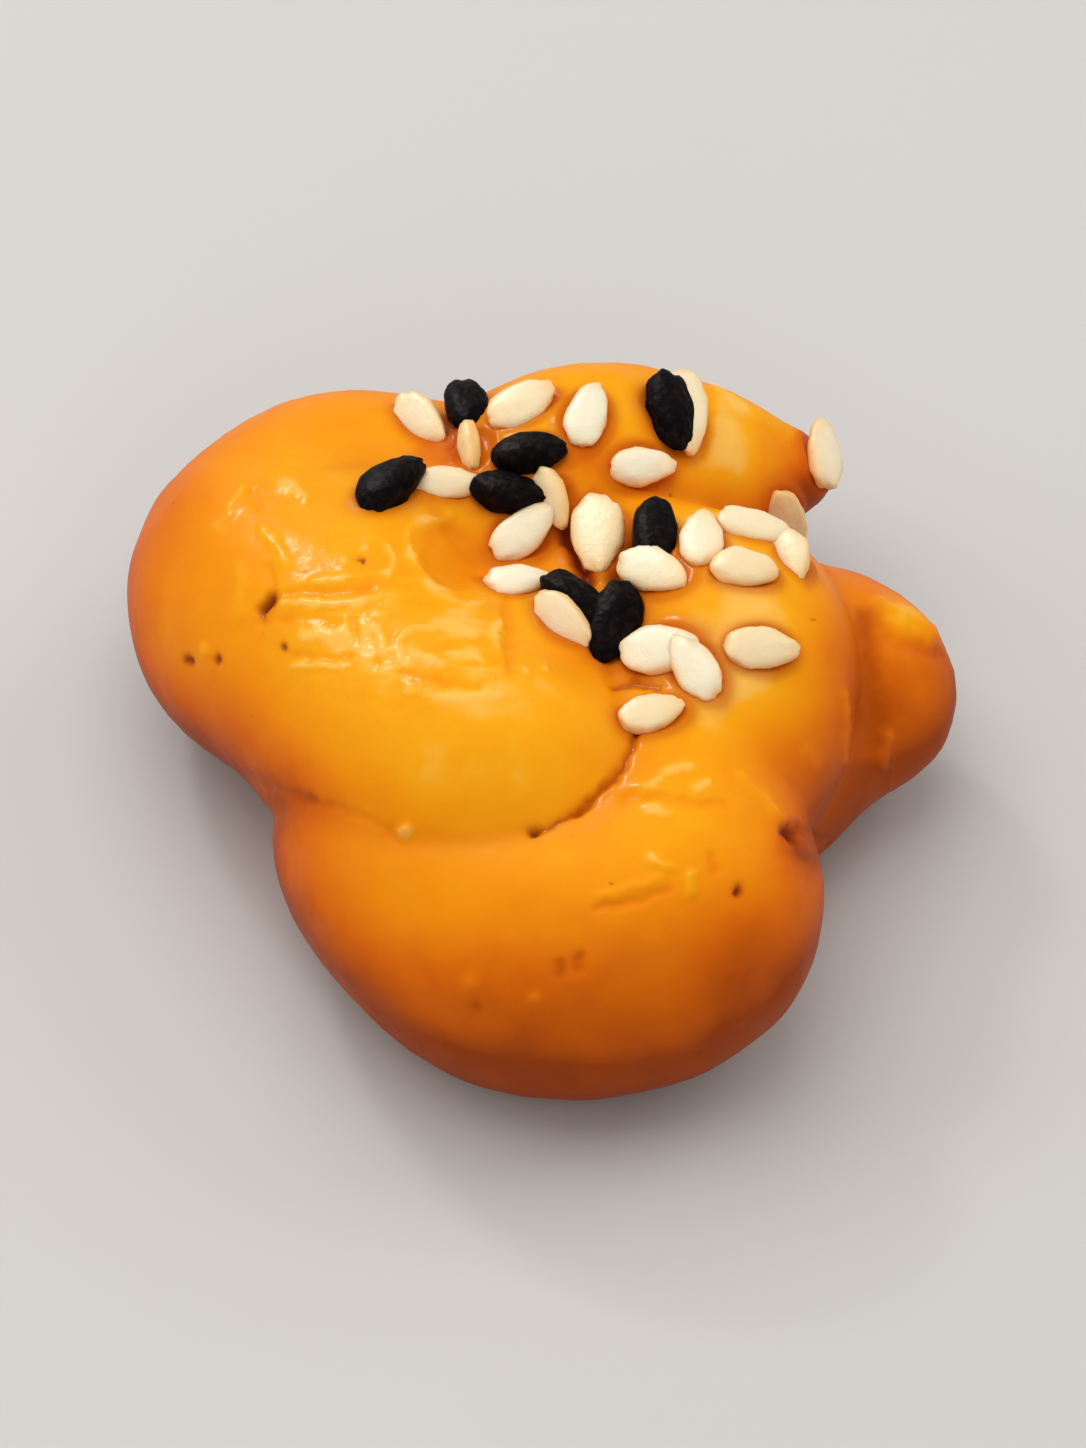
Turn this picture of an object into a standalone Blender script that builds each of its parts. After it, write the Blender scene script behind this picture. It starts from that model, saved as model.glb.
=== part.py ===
"""Salt biscuit: a short rope of dough tied in one loose overhand knot, baked flat underneath and glazed
with egg, with white and black seeds stuck in the folds of its top."""

import math
import random

import bmesh
import bpy
from mathutils import Matrix, Vector
from mathutils.bvhtree import BVHTree

MM = 0.001

# The rope's middle line and its radius, (x, y, z, radius) in mm, from the right tail to the back tail.
# +X is to the right, -Y to the front, and the biscuit lies on z = 0.
RIGHT_TAIL = [
    (15.5, 4.3, 5.1, 3.9),
    (12.4, 4.8, 5.6, 5.7),
    (8.0, 0.0, 5.0, 6.0),
]
LEFT_LOOP = [
    (3.0, -4.0, 6.6, 6.2),
    (-2.9, -4.7, 9.2, 7.5),
    (-9.3, 4.2, 8.5, 7.3),
    (-12.1, 9.3, 6.8, 7.4),
    (-8.5, 12.9, 6.8, 7.1),
    (-2.5, 11.8, 6.3, 6.5),
]
RIGHT_ARCH = [
    (3.5, 7.2, 7.5, 6.3),
    (7.9, 3.6, 9.3, 6.4),
    (8.2, 0.2, 8.5, 6.15),
]
FRONT_LOOP = [
    (5.2, -5.0, 7.6, 6.45),
    (5.6, -10.2, 6.8, 7.3),
    (-0.8, -11.3, 6.2, 7.2),
    (-5.9, -6.3, 6.4, 6.4),
]
BACK_TAIL = [
    (-5.5, 0.0, 4.5, 6.5),
    (-4.0, 7.0, 7.0, 6.3),
    (0.5, 13.2, 9.4, 6.0),
    (5.5, 15.2, 8.1, 5.3),
    (9.8, 16.4, 7.2, 2.7),
    (12.9, 16.9, 7.2, 1.0),
]
ROPE = RIGHT_TAIL + LEFT_LOOP + RIGHT_ARCH + FRONT_LOOP + BACK_TAIL

# Dough that has closed up between the strands, as balls (x, y, z, radius) in mm.
CORE = [
    (-7.5, 8.0, 9.3, 6.0),
    (0.5, 1.5, 6.8, 7.6),
    (0.5, -6.0, 6.5, 7.5),
    (9.1, 5.3, 8.1, 4.9),
]

MIDDLE = (0.0, 1.1)  # mm, the middle of the knot's box, which is moved to the origin
STEPS = 12  # sections between two points of the rope
BALL_DETAIL = 3
SKIN_CELL = 0.45  # mm, the cell in which the strands are melted into one skin
SKIN_SMOOTHING = 2
SKIN_SHARE = 0.09  # share of the skin's faces that is kept
TRAY = (60.0, 60.0, 10.0)  # mm, the block under the biscuit that cuts its flat base
SHARP_FROM = 40  # degrees between two faces

# Seeds: full length, width and thickness in mm, and how much slimmer the pointed end is than the round one.
SESAME = {"size": (3.5, 2.3, 1.05), "taper": 0.38}
NIGELLA = {"size": (3.8, 2.4, 1.6), "taper": 0.25}
KINDS = {"sesame": SESAME, "nigella": NIGELLA}
SEED_RINGS = 4
SEED_SIDES = 6
SEED_RAISED = 0.22  # share of its thickness by which the middle of a seed lies above the dough's surface
SEED_REACH = 0.4  # share of its length and width at which a seed rests on the dough
SEED_LEAN = 0.3  # how far the glaze holds a seed's face towards the side it was strewn from
STAND_OFF = 0.35  # mm by which a seed on the edge of the view may stand off the dough

# The seeds of the top are laid out as seen from the front, from VIEW_TILT above the level: mm to the right
# of the knot's own origin, mm up from it, the turn of the seed, degrees anticlockwise from the right, its
# roll about its own length, in degrees, and its length and width as a share of the usual ones.
VIEW_TILT = 49
OUTSIDE = 100  # mm, a distance from which a line to the biscuit starts
SESAME_SEEN = [
    (-5.6, 19.7, -45, 40, 0.95), (-3.2, 18.5, -80, 60, 0.8), (-4.4, 16.75, 0, 15, 0.9),
    (-0.95, 20.4, 30, 15, 1.05), (2.0, 19.95, 75, 0, 1.05), (4.6, 17.55, 5, 0, 1.0),
    (6.55, 20.05, -85, 10, 1.2), (-0.9, 14.5, 42, 0, 1.12), (0.55, 16.1, -70, 40, 0.85),
    (2.6, 14.3, -88, 0, 1.35), (-1.2, 12.1, 5, 10, 0.95), (1.05, 10.4, -43, 48, 1.0),
    (5.2, 12.65, -18, 0, 1.05), (7.35, 14.1, 88, 0, 1.0), (9.8, 14.6, -12, 10, 1.0),
    (9.35, 12.75, -6, 0, 0.95), (11.2, 15.2, -58, 8, 1.15), (11.65, 13.3, -72, 50, 0.85),
    (13.0, 18.2, 93, 8, 1.05), (5.5, 9.0, 5, 0, 1.15), (7.0, 8.2, 125, 0, 1.1),
    (5.0, 6.0, 18, 0, 1.0), (10.1, 9.1, 0, 0, 1.0),
]
NIGELLA_SEEN = [
    (-7.1, 16.6, 40, 0, 1.0), (-3.55, 20.2, -75, 0, 0.9), (-0.6, 18.1, 8, 0, 0.97),
    (-1.65, 16.25, -8, 0, 0.97), (5.9, 20.05, -80, 0, 1.18), (5.15, 14.2, -90, 0, 1.05),
    (3.2, 10.2, -108, 0, 1.2), (1.5, 11.2, -36, 0, 1.0),
]

# The seeds on the back of the knot are scattered over a patch, seen level from behind, by a seeded draw.
BACK_SEEDS = 6
BACK_PATCH = (-12.0, 9.0, 4.5, 11.0)  # mm: lowest x, highest x, lowest z, highest z
BACK_FACING = (0.55, 0.84)  # how far such a seed's place faces away from the front view: least and most
BACK_APART = 2.8  # mm between the middles of two of them
BACK_NIGELLA_EVERY = 3
BACK_DRAW = 5

GLAZED_DOUGH = {"name": "glazed dough", "color": (0.78, 0.33, 0.03), "roughness": 0.35}
SESAME_SKIN = {"name": "sesame", "color": (0.90, 0.78, 0.55), "roughness": 0.5}
NIGELLA_SKIN = {"name": "nigella", "color": (0.012, 0.010, 0.012), "roughness": 0.45}


def clear_scene():
    for obj in list(bpy.data.objects):
        bpy.data.objects.remove(obj, do_unlink=True)


def material(look):
    made = bpy.data.materials.new(look["name"])
    made.use_nodes = True
    shader = made.node_tree.nodes["Principled BSDF"]
    shader.inputs["Base Color"].default_value = (*look["color"], 1.0)
    shader.inputs["Roughness"].default_value = look["roughness"]
    shader.inputs["Metallic"].default_value = 0.0
    return made


def smooth_path(points, steps):
    """Points on a Catmull-Rom spline through the given ones, with the radius carried along."""
    knots = [Vector(point) for point in points]
    knots = [2 * knots[0] - knots[1], *knots, 2 * knots[-1] - knots[-2]]
    path = []
    for before, start, end, after in zip(knots, knots[1:], knots[2:], knots[3:]):
        for step in range(steps):
            t = step / steps
            bend = 2 * before - 5 * start + 4 * end - after
            twist = 3 * start - before - 3 * end + after
            path.append(start + 0.5 * t * (end - before) + 0.5 * t**2 * bend + 0.5 * t**3 * twist)
    path.append(Vector(points[-1]))
    return path


def new_object(name, mesh, collection=None):
    obj = bpy.data.objects.new(name, mesh)
    (collection or bpy.context.scene.collection).objects.link(obj)
    return obj


def mesh_from(bm, name):
    mesh = bpy.data.meshes.new(name)
    bm.to_mesh(mesh)
    bm.free()
    return mesh


def apply_modifiers(obj):
    """Gives the object the mesh that its modifiers make, and takes the modifiers off."""
    graph = bpy.context.evaluated_depsgraph_get()
    made = bpy.data.meshes.new_from_object(obj.evaluated_get(graph))
    obj.modifiers.clear()
    obj.data = made


def strands():
    """Balls along the rope and in the core, which overlap into the bulk of the dough."""
    bm = bmesh.new()
    for x, y, z, radius in [*smooth_path(ROPE, STEPS), *CORE]:
        place = Matrix.Translation(Vector((x, y, z)) * MM)
        bmesh.ops.create_icosphere(bm, subdivisions=BALL_DETAIL, radius=radius * MM, matrix=place)
    return mesh_from(bm, "strands")


def melt_together(dough):
    """One closed skin round the strands, with the folds between them softened."""
    skin = dough.modifiers.new("skin", "REMESH")
    skin.mode = "VOXEL"
    skin.voxel_size = SKIN_CELL * MM
    soften = dough.modifiers.new("soften", "SMOOTH")
    soften.iterations = SKIN_SMOOTHING
    fewer = dough.modifiers.new("fewer faces", "DECIMATE")
    fewer.ratio = SKIN_SHARE
    apply_modifiers(dough)


def flatten_base(dough):
    """Cuts the dough off at z = 0, where it lay on the baking tray."""
    bm = bmesh.new()
    under = Matrix.Translation((0, 0, -TRAY[2] / 2 * MM))
    bmesh.ops.create_cube(bm, size=MM, matrix=under @ Matrix.Diagonal((*TRAY, 1)))
    cutter = new_object("tray", mesh_from(bm, "tray"))
    cutter.hide_render = True
    cutter.display_type = "WIRE"
    cut = dough.modifiers.new("flat base", "BOOLEAN")
    cut.operation = "DIFFERENCE"
    cut.solver = "EXACT"
    cut.object = cutter
    apply_modifiers(dough)
    bpy.data.objects.remove(cutter, do_unlink=True)


def surface_of(dough):
    bm = bmesh.new()
    bm.from_mesh(dough.data)
    tree = BVHTree.FromBMesh(bm)
    bm.free()
    return tree


def seen_axes():
    """The right, up and depth directions of the view in which the seeds of the top are laid out."""
    tilt = math.radians(VIEW_TILT)
    right = Vector((1, 0, 0))
    up = Vector((0, math.sin(tilt), math.cos(tilt)))
    depth = Vector((0, math.cos(tilt), -math.sin(tilt)))
    return right, up, depth


def meet(surface, start, along):
    """Where the line from start meets the dough, or a place close by where it passes it nearest."""
    point, _, _, _ = surface.ray_cast(start, along)
    if point is None:
        line = [start + along * (OUTSIDE + step / 2) * MM for step in range(-OUTSIDE, OUTSIDE)]
        passed = min(line, key=lambda spot: surface.find_nearest(spot)[3])
        touched, _, _, gap = surface.find_nearest(passed)
        point = touched + (passed - touched) * min(1, STAND_OFF * MM / gap)
    return point


def place_on(surface, start, along, heading, kind, roll=0, size=1):
    """A seed's place where the line meets the dough. Seen along the line, it points to the heading."""
    point = meet(surface, start, along)
    length, width, _ = kind["size"]
    beside = along.cross(heading)
    offsets = [heading * length, heading * -length, beside * width, beside * -width]
    rests = [surface.find_nearest(point + offset * SEED_REACH * MM) for offset in offsets]
    facing = sum((rest[1] for rest in rests), Vector()).normalized() - SEED_LEAN * along
    facing.normalize()
    ahead = heading - along * (heading.dot(facing) / min(along.dot(facing), -SEED_LEAN))
    ahead = (ahead - facing * ahead.dot(facing)).normalized()
    sunk = sum((rest[0] - point).dot(along) for rest in rests) / len(rests)
    turn = Matrix((ahead, facing.cross(ahead), facing)).transposed().to_4x4()
    rolled = turn @ Matrix.Rotation(math.radians(roll), 4, "X")
    return Matrix.Translation(point + along * sunk) @ rolled @ Matrix.Diagonal((size, size, 1, 1))


def top_place(surface, kind, seen):
    across, up_by, turn, roll, size = seen
    right, up, depth = seen_axes()
    angle = math.radians(turn)
    start = (across * right + up_by * up - OUTSIDE * depth) * MM
    heading = math.cos(angle) * right + math.sin(angle) * up
    return place_on(surface, start, depth, heading, kind, roll, size)


def back_places(surface):
    """Seeds scattered over the back, none close to another, each as its kind and its place."""
    draw = random.Random(BACK_DRAW)
    left, right, low, high = BACK_PATCH
    least, most = BACK_FACING
    forward = Vector((0, -1, 0))
    depth = seen_axes()[2]
    taken = []
    places = []
    while len(places) < BACK_SEEDS:
        spot = Vector((draw.uniform(left, right), OUTSIDE, draw.uniform(low, high)))
        angle = draw.uniform(0, math.pi)
        away = surface.ray_cast(spot * MM, forward)[1].dot(depth)
        if not least < away < most or any((spot - other).length < BACK_APART for other in taken):
            continue
        kind = "sesame" if len(places) % BACK_NIGELLA_EVERY else "nigella"
        taken.append(spot)
        heading = Vector((math.cos(angle), 0, math.sin(angle)))
        places.append((kind, place_on(surface, spot * MM, forward, heading, KINDS[kind])))
    return places


def seed_mesh(kind, name):
    """A flat drop along x, pointed at +x, raised only so far that its lower part is in the dough."""
    length, width, thickness = kind["size"]
    bm = bmesh.new()
    bmesh.ops.create_uvsphere(bm, u_segments=SEED_SIDES, v_segments=SEED_RINGS, radius=0.5)
    for vert in bm.verts:
        high, side, ahead = vert.co
        slim = 1 - kind["taper"] * (ahead + 0.5)
        vert.co = Vector((ahead * length, side * width * slim, high * thickness * slim)) * MM
        vert.co.z += SEED_RAISED * thickness * MM
    bmesh.ops.recalc_face_normals(bm, faces=bm.faces)
    return mesh_from(bm, name)


def scatter_seeds(surface):
    """All the seeds, as objects of one collection."""
    seeds = bpy.data.collections.new("seeds")
    bpy.context.scene.collection.children.link(seeds)
    shapes = {name: seed_mesh(kind, name) for name, kind in KINDS.items()}
    shapes["sesame"].materials.append(material(SESAME_SKIN))
    shapes["nigella"].materials.append(material(NIGELLA_SKIN))
    placed = [("sesame", top_place(surface, SESAME, seen)) for seen in SESAME_SEEN]
    placed += [("nigella", top_place(surface, NIGELLA, seen)) for seen in NIGELLA_SEEN]
    for count, (kind, place) in enumerate(placed + back_places(surface)):
        seed = new_object(f"{kind}_{count:02d}", shapes[kind], seeds)
        seed.matrix_world = place
    return seeds


def fuse_seeds(dough, seeds):
    fuse = dough.modifiers.new("seeds", "BOOLEAN")
    fuse.operation = "UNION"
    fuse.solver = "EXACT"
    fuse.operand_type = "COLLECTION"
    fuse.collection = seeds
    fuse.material_mode = "TRANSFER"
    apply_modifiers(dough)
    for seed in list(seeds.objects):
        bpy.data.objects.remove(seed, do_unlink=True)
    bpy.data.collections.remove(seeds)


def shells_of(bm):
    """The mesh's separate closed shells, as lists of their points."""
    left = set(bm.verts)
    shells = []
    while left:
        shell = []
        edge_of_shell = [left.pop()]
        while edge_of_shell:
            vert = edge_of_shell.pop()
            shell.append(vert)
            fresh = {edge.other_vert(vert) for edge in vert.link_edges} & left
            left -= fresh
            edge_of_shell.extend(fresh)
        shells.append(shell)
    return shells


def fill_pockets(dough):
    """Keeps the outer shell alone, so that the small pockets under and between the seeds are solid."""
    bm = bmesh.new()
    bm.from_mesh(dough.data)
    shells = sorted(shells_of(bm), key=len)
    bmesh.ops.delete(bm, geom=[vert for shell in shells[:-1] for vert in shell], context="VERTS")
    bm.to_mesh(dough.data)
    bm.free()


def main():
    clear_scene()
    biscuit = new_object("biscuit", strands())
    biscuit.data.materials.append(material(GLAZED_DOUGH))
    melt_together(biscuit)
    flatten_base(biscuit)
    fuse_seeds(biscuit, scatter_seeds(surface_of(biscuit)))
    fill_pockets(biscuit)
    biscuit.data.transform(Matrix.Translation(Vector((-MIDDLE[0], -MIDDLE[1], 0)) * MM))
    biscuit.data.shade_smooth()
    biscuit.data.set_sharp_from_angle(angle=math.radians(SHARP_FROM))


main()
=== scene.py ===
"""The looks of the salt biscuit: the glazed dough with its folds, wrinkles and pits, and the seeds on it.

Inside the functions lengths are in millimetres, in the part's own frame before it is centred. They become
metres, and move by MIDDLE, when a mesh is made."""

import math
import random

import bmesh
import bpy
import numpy as np
from mathutils import Matrix, Vector, noise
from mathutils.bvhtree import BVHTree


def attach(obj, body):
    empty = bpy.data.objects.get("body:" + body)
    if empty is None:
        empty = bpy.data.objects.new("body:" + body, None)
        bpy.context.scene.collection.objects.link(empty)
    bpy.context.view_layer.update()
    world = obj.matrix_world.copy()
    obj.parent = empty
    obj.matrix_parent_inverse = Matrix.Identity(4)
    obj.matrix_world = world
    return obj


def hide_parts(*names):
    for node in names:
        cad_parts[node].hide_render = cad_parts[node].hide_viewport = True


MM = 0.001

# The rope's middle line and its radius, (x, y, z, radius), from the right tail to the back tail, as in the
# part.
RIGHT_TAIL = [
    (15.5, 4.3, 5.1, 3.9),
    (12.4, 4.8, 5.6, 5.7),
    (8.0, 0.0, 5.0, 6.0),
]
LEFT_LOOP = [
    (3.0, -4.0, 6.6, 6.2),
    (-2.9, -4.7, 9.2, 7.5),
    (-9.3, 4.2, 8.5, 7.3),
    (-12.1, 9.3, 6.8, 7.4),
    (-8.5, 12.9, 6.8, 7.1),
    (-2.5, 11.8, 6.3, 6.5),
]
RIGHT_ARCH = [
    (3.5, 7.2, 7.5, 6.3),
    (7.9, 3.6, 9.3, 6.4),
    (8.2, 0.2, 8.5, 6.15),
]
FRONT_LOOP = [
    (5.2, -5.0, 7.6, 6.45),
    (5.6, -10.2, 6.8, 7.3),
    (-0.8, -11.3, 6.2, 7.2),
    (-5.9, -6.3, 6.4, 6.4),
]
BACK_TAIL = [
    (-5.5, 0.0, 4.5, 6.5),
    (-4.0, 7.0, 7.0, 6.3),
    (0.5, 13.2, 9.4, 6.0),
    (5.5, 15.2, 8.1, 5.3),
    (9.8, 16.4, 7.2, 2.7),
    (12.9, 16.9, 7.2, 1.0),
]
ROPE = RIGHT_TAIL + LEFT_LOOP + RIGHT_ARCH + FRONT_LOOP + BACK_TAIL
CORE = [
    (-7.5, 8.0, 9.3, 6.0),
    (0.5, 1.5, 6.8, 7.6),
    (0.5, -6.0, 6.5, 7.5),
    (9.1, 5.3, 8.1, 4.9),
]
MIDDLE = (0.0, 1.1)
STEPS = 12
BALL_DETAIL = 3

# How the strands melt into each other, and the mesh that carries them.
MELT = 2.6  # the larger, the sharper the folds, in 1/mm
CORE_BLEND = 1.4
BASE_ROUND = 0.55
SKIN_CELL = 0.34
FINE_FACING = 0.25  # faces turned at least so far to the view of the marks are split into smaller ones
SETTLE_STEPS = 5
SETTLE_STEEP = 0.2  # the least squared slope that a step is divided by
POINTS_AT_ONCE = 8000
OTHER_STRAND = 16  # sections between two places of the rope that count as different strands

# The seeds: full length, width and thickness, and how much slimmer the pointed end is than the round one.
SESAME = {"size": (3.5, 2.3, 1.05), "taper": 0.38}
NIGELLA = {"size": (3.8, 2.4, 1.6), "taper": 0.25}
KINDS = {"sesame": SESAME, "nigella": NIGELLA}
SEED_RAISED = 0.22
SEED_REACH = 0.4
SEED_LEAN = 0.3
STAND_OFF = 0.35

# The seeds of the top, as seen from the front from VIEW_TILT above the level: to the right of the knot's own
# origin, up from it, the seed's turn anticlockwise from the right, its roll about its length, in degrees, and
# its length and width as a share of the usual ones.
VIEW_TILT = 49
OUTSIDE = 100
SESAME_SEEN = [
    (-5.6, 19.7, -45, 40, 0.95), (-3.2, 18.5, -80, 60, 0.8), (-4.4, 16.75, 0, 15, 0.9),
    (-0.95, 20.4, 30, 15, 1.05), (2.0, 19.95, 75, 0, 1.05), (4.6, 17.55, 5, 0, 1.0),
    (6.55, 20.05, -85, 10, 1.2), (-0.9, 14.5, 42, 0, 1.12), (0.55, 16.1, -70, 40, 0.85),
    (2.6, 14.3, -88, 0, 1.35), (-1.2, 12.1, 5, 10, 0.95), (1.05, 10.4, -43, 48, 1.0),
    (5.2, 12.65, -18, 0, 1.05), (7.35, 14.1, 88, 0, 1.0), (9.8, 14.6, -12, 10, 1.0),
    (9.35, 12.75, -6, 0, 0.95), (11.2, 15.2, -58, 8, 1.15), (11.65, 13.3, -72, 50, 0.85),
    (13.0, 18.2, 93, 8, 1.05), (5.5, 9.0, 5, 0, 1.15), (7.0, 8.2, 125, 0, 1.1),
    (5.0, 6.0, 18, 0, 1.0), (10.1, 9.1, 0, 0, 1.0),
]
# How toasted some are, by their place in the list. The rest are in between.
TOASTED_SEEDS = {
    1: 0.7, 4: 0.0, 5: 0.0, 7: 0.1, 8: 0.6, 9: 0.5,
    10: 0.05, 15: 0.5, 16: 0.8, 19: 0.1, 20: 0.05, 21: 0.5,
}
SEED_TOAST = (0.2, 0.45)
NIGELLA_SEEN = [
    (-7.1, 16.6, 40, 0, 1.0), (-3.55, 20.2, -75, 0, 0.9), (-0.6, 18.1, 8, 0, 0.97),
    (-1.65, 16.25, -8, 0, 0.97), (5.9, 20.05, -80, 0, 1.18), (5.15, 14.2, -90, 0, 1.05),
    (3.2, 10.2, -108, 0, 1.2), (1.5, 11.2, -36, 0, 1.0),
]

# The seeds of the back, over a patch of it seen level from behind: lowest and highest x, lowest and highest
# z.
BACK_SEEDS = 6
BACK_PATCH = (-12.0, 9.0, 4.5, 11.0)
BACK_FACING = (0.55, 0.84)  # how far such a seed's place faces away from the front view
BACK_APART = 2.8
BACK_NIGELLA_EVERY = 3
BACK_DRAW = 5

# Marks in the glaze, laid out in the same view. A stroke is a line of points (right, up) with its half width
# and its height, less than 0 where it is a groove. A single point is a dimple or a blister.
# A ridge also makes the glaze paler and a groove redder: a painted highlight and painted shade, partly glaze
# pooled in the grooves.
STROKES = {
    "print_rim": (0.22, 0.13, [
        (-4.3, 15.2), (-5.6, 15.1), (-6.3, 14.4), (-6.2, 13.6), (-5.8, 12.8),
        (-5.1, 12.1), (-4.3, 11.5), (-3.5, 11.1), (-2.8, 11.2),
    ]),
    "print_edge": (0.22, -0.06, [(-5.8, 14.0), (-5.3, 14.4), (-4.4, 14.6)]),
    "left_streak": (0.28, 0.16, [(-15.1, 14.6), (-14.6, 15.4), (-13.9, 16.4)]),
    "left_streak_groove": (0.25, -0.10, [(-13.5, 16.3), (-13.2, 15.6)]),
    "left_dab": (0.50, 0.15, [(-11.9, 16.7)]),
    "left_dab_2": (0.22, 0.14, [(-11.6, 16.5), (-11.0, 16.2)]),
    "left_streak_2": (0.24, 0.12, [(-12.9, 14.6), (-12.4, 13.8), (-11.9, 13.0)]),
    "left_streak_3": (0.34, 0.10, [(-14.1, 12.8), (-13.9, 12.0), (-14.1, 10.8)]),
    "fold_1": (0.20, 0.12, [(-10.6, 12.2), (-9.3, 12.3), (-8.0, 12.5), (-7.3, 12.5)]),
    "fold_2": (0.20, 0.12, [(-12.0, 11.2), (-10.0, 11.2), (-8.4, 11.3)]),
    "fold_3": (0.32, 0.10, [(-11.0, 9.7), (-9.4, 9.8)]),
    "fold_4": (0.20, 0.11, [(-11.6, 8.3), (-10.4, 8.3), (-9.3, 8.4)]),
    "fold_5": (0.22, 0.08, [(-6.3, 7.2), (-5.0, 6.9), (-3.4, 6.8), (-2.0, 7.0)]),
    "fold_6": (0.20, 0.10, [(-4.4, 8.9), (-3.4, 8.9), (-2.7, 8.5)]),
    "hook_1": (0.22, 0.12, [(-7.9, 10.2), (-7.5, 9.5), (-7.4, 9.1)]),
    "hook_2": (0.20, 0.10, [(-7.3, 13.9), (-6.9, 13.2), (-7.2, 12.5)]),
    "hook_3": (0.22, 0.12, [(-2.2, 10.2), (-2.1, 9.3)]),
    "arch": (0.20, 0.10, [(-6.4, 8.4), (-6.8, 9.2), (-6.4, 9.9), (-5.4, 10.2), (-4.2, 10.2), (-3.2, 9.9)]),
    "dab": (0.27, 0.20, [(-5.8, 8.8), (-5.4, 8.6), (-4.9, 8.3)]),
    "dot_1": (0.19, 0.12, [(-0.9, 8.1)]),
    "dot_2": (0.19, 0.12, [(0.1, 8.2)]),
    "blister_1": (0.20, 0.14, [(-9.2, 13.1)]),
    "blister_2": (0.20, 0.10, [(-8.4, 13.7)]),
    "star": (0.26, 0.20, [(-15.8, 9.0)]),
    "groove_1": (0.17, -0.12, [(-11.9, 11.7), (-10.0, 11.7), (-8.0, 11.8)]),
    "groove_2": (0.18, -0.08, [(-13.3, 10.4), (-11.5, 10.5), (-9.4, 10.5)]),
    "groove_3": (0.18, -0.12, [(-11.8, 8.8), (-10.5, 8.75), (-9.1, 8.8)]),
    "groove_4": (0.24, -0.16, [(-1.7, 11.2), (-1.5, 10.0), (-1.5, 8.2)]),
    "groove_5": (0.18, -0.09, [(-6.6, 8.1), (-5.9, 7.8), (-4.6, 7.5), (-3.0, 7.4)]),
    "groove_6": (0.24, -0.12, [(-12.7, 12.8), (-12.6, 12.2)]),
    "groove_7": (0.20, -0.10, [(-8.8, 10.5), (-8.6, 9.6)]),
    "groove_8": (0.20, -0.10, [(-7.7, 8.5)]),
    "crease_line": (0.24, -0.09, [(-11.2, 2.2), (-9.4, 1.75), (-7.9, 1.1), (-6.6, 0.3)]),
    "crease_drop": (0.30, 0.30, [(-6.4, 0.6)]),
    "front_fold_1": (0.24, 0.17, [(5.0, -0.5), (5.7, -1.0)]),
    "front_fold_2": (0.25, 0.25, [(6.9, -1.3), (6.8, -2.1)]),
    "front_fold_3": (0.22, 0.11, [(2.7, -2.3), (4.0, -2.0), (5.4, -1.5)]),
    "front_fold_4": (0.28, 0.14, [(4.5, 2.6), (5.4, 3.0)]),
    "front_fold_5": (0.28, 0.14, [(5.8, 3.5), (6.8, 3.7)]),
    "front_fold_6": (0.24, 0.13, [(7.1, 2.7), (7.6, 2.9)]),
    "front_fold_7": (0.24, 0.12, [(4.8, 1.8), (5.8, 1.5)]),
    "front_fold_8": (0.26, 0.16, [(9.2, 3.2), (10.3, 2.1), (11.1, 1.2)]),
    "front_groove_1": (0.20, -0.17, [(7.8, -0.4), (8.0, -1.2)]),
    "front_groove_2": (0.22, -0.12, [(2.5, -2.9), (4.3, -2.5), (5.8, -2.0)]),
    "front_groove_3": (0.22, -0.14, [(3.7, 2.2), (5.2, 2.3), (7.0, 2.0), (8.5, 2.0)]),
    "dent_1": (0.24, -0.22, [(0.8, -5.4), (0.9, -5.8)]),
    "dent_2": (0.24, -0.22, [(1.6, -5.1), (1.7, -5.5)]),
    "dent_3": (0.26, -0.18, [(-3.1, -7.4)]),
    "dent_rise": (0.42, 0.12, [(-3.3, -6.3)]),
    "dent_rise_2": (0.24, 0.13, [(-0.4, -7.0)]),
    "right_patch": (0.50, 0.10, [(9.4, 7.4)]),
    "right_fold": (0.24, 0.08, [(12.2, 4.4), (12.4, 3.7)]),
    "right_rim": (0.22, 0.16, [(14.05, 7.0), (14.1, 5.6), (14.0, 4.0)]),
    "tail_fold": (0.42, 0.34, [(15.7, 11.0), (16.9, 10.5), (17.9, 9.7)]),
    "tail_groove": (0.34, -0.15, [(15.4, 10.0), (16.6, 9.3), (18.2, 8.9)]),
    "tail_fold_2": (0.28, 0.16, [(16.0, 5.0), (15.7, 3.7)]),
    "back_streak": (0.36, 0.18, [(8.2, 21.3), (10.0, 20.2), (11.6, 19.1)]),
    "back_groove": (0.26, -0.12, [(7.8, 21.0), (7.9, 19.5), (7.6, 18.0)]),
}
RAGGED = 0.18  # how far the marks stray from their lines
# The paleness of ridges is a painted highlight, the red of grooves painted shade.
FULL_MARK = 0.14  # a ridge this high is as pale as ridges get, a groove as deep is as red
# Burst bubbles and cracks, and the gaps between seeds, whose inside is dark: painted shade in the recess.
PITS = {
    "left_pit": (0.28, -0.42, [(-12.6, 11.5), (-13.0, 10.9)]),
    "star_pit_1": (0.22, -0.18, [(-16.5, 8.6)]),
    "star_pit_2": (0.22, -0.18, [(-15.1, 8.6)]),
    "small_pit": (0.18, -0.14, [(-12.0, 9.2)]),
    "blister_pit": (0.15, -0.12, [(-8.4, 13.1)]),
    "crease_pit": (0.26, -0.28, [(-0.4, 0.6)]),
    "notch_pit": (0.30, -0.35, [(11.4, 0.8), (11.7, 0.5)]),
    "front_pit": (0.24, -0.26, [(9.0, -2.1)]),
    "seed_gap_1": (0.36, -0.30, [(1.0, 14.8), (1.5, 13.6), (2.0, 12.4)]),
    "seed_gap_2": (0.34, -0.30, [(4.3, 14.5), (3.8, 13.5), (3.3, 12.3)]),
}
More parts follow.
